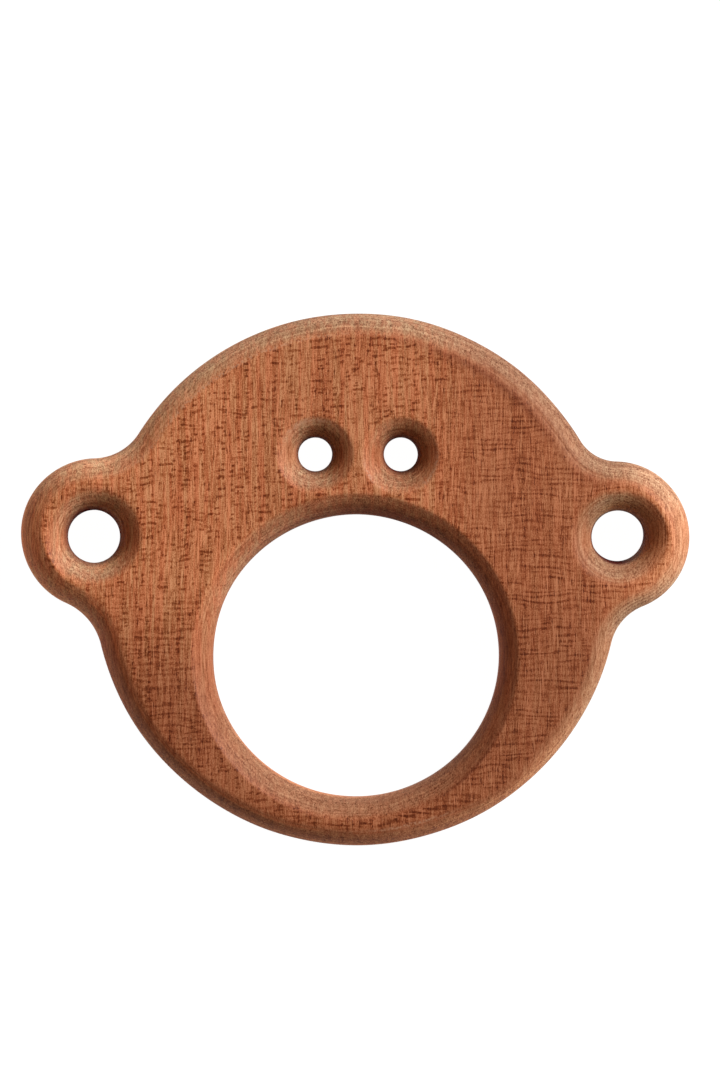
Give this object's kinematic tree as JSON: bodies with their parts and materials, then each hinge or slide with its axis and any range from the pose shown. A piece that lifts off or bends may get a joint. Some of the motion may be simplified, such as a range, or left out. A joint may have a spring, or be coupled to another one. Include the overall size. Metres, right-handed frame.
{
  "type": "wooden animal face ring",
  "caption": "Flat hand-sized hardwood ring cut as an animal's face, with rounded edges and flared through holes for the mouth, eyes and ears.",
  "frame": {"origin": "on the back face, under the middle of the overall outline", "axes": "+X across the ears to the face's right as it is seen, +Y to the top of the head, +Z out of the face; the piece lies on its back"},
  "size_m": [0.1179, 0.0938, 0.015],
  "materials": {
    "oiled_wood": "quarter-sawn reddish-brown hardwood, sanded and thinly oiled, satin to matt"
  },
  "bodies": {
    "root": {"face_plate": "oiled_wood"}
  },
  "joints": []
}
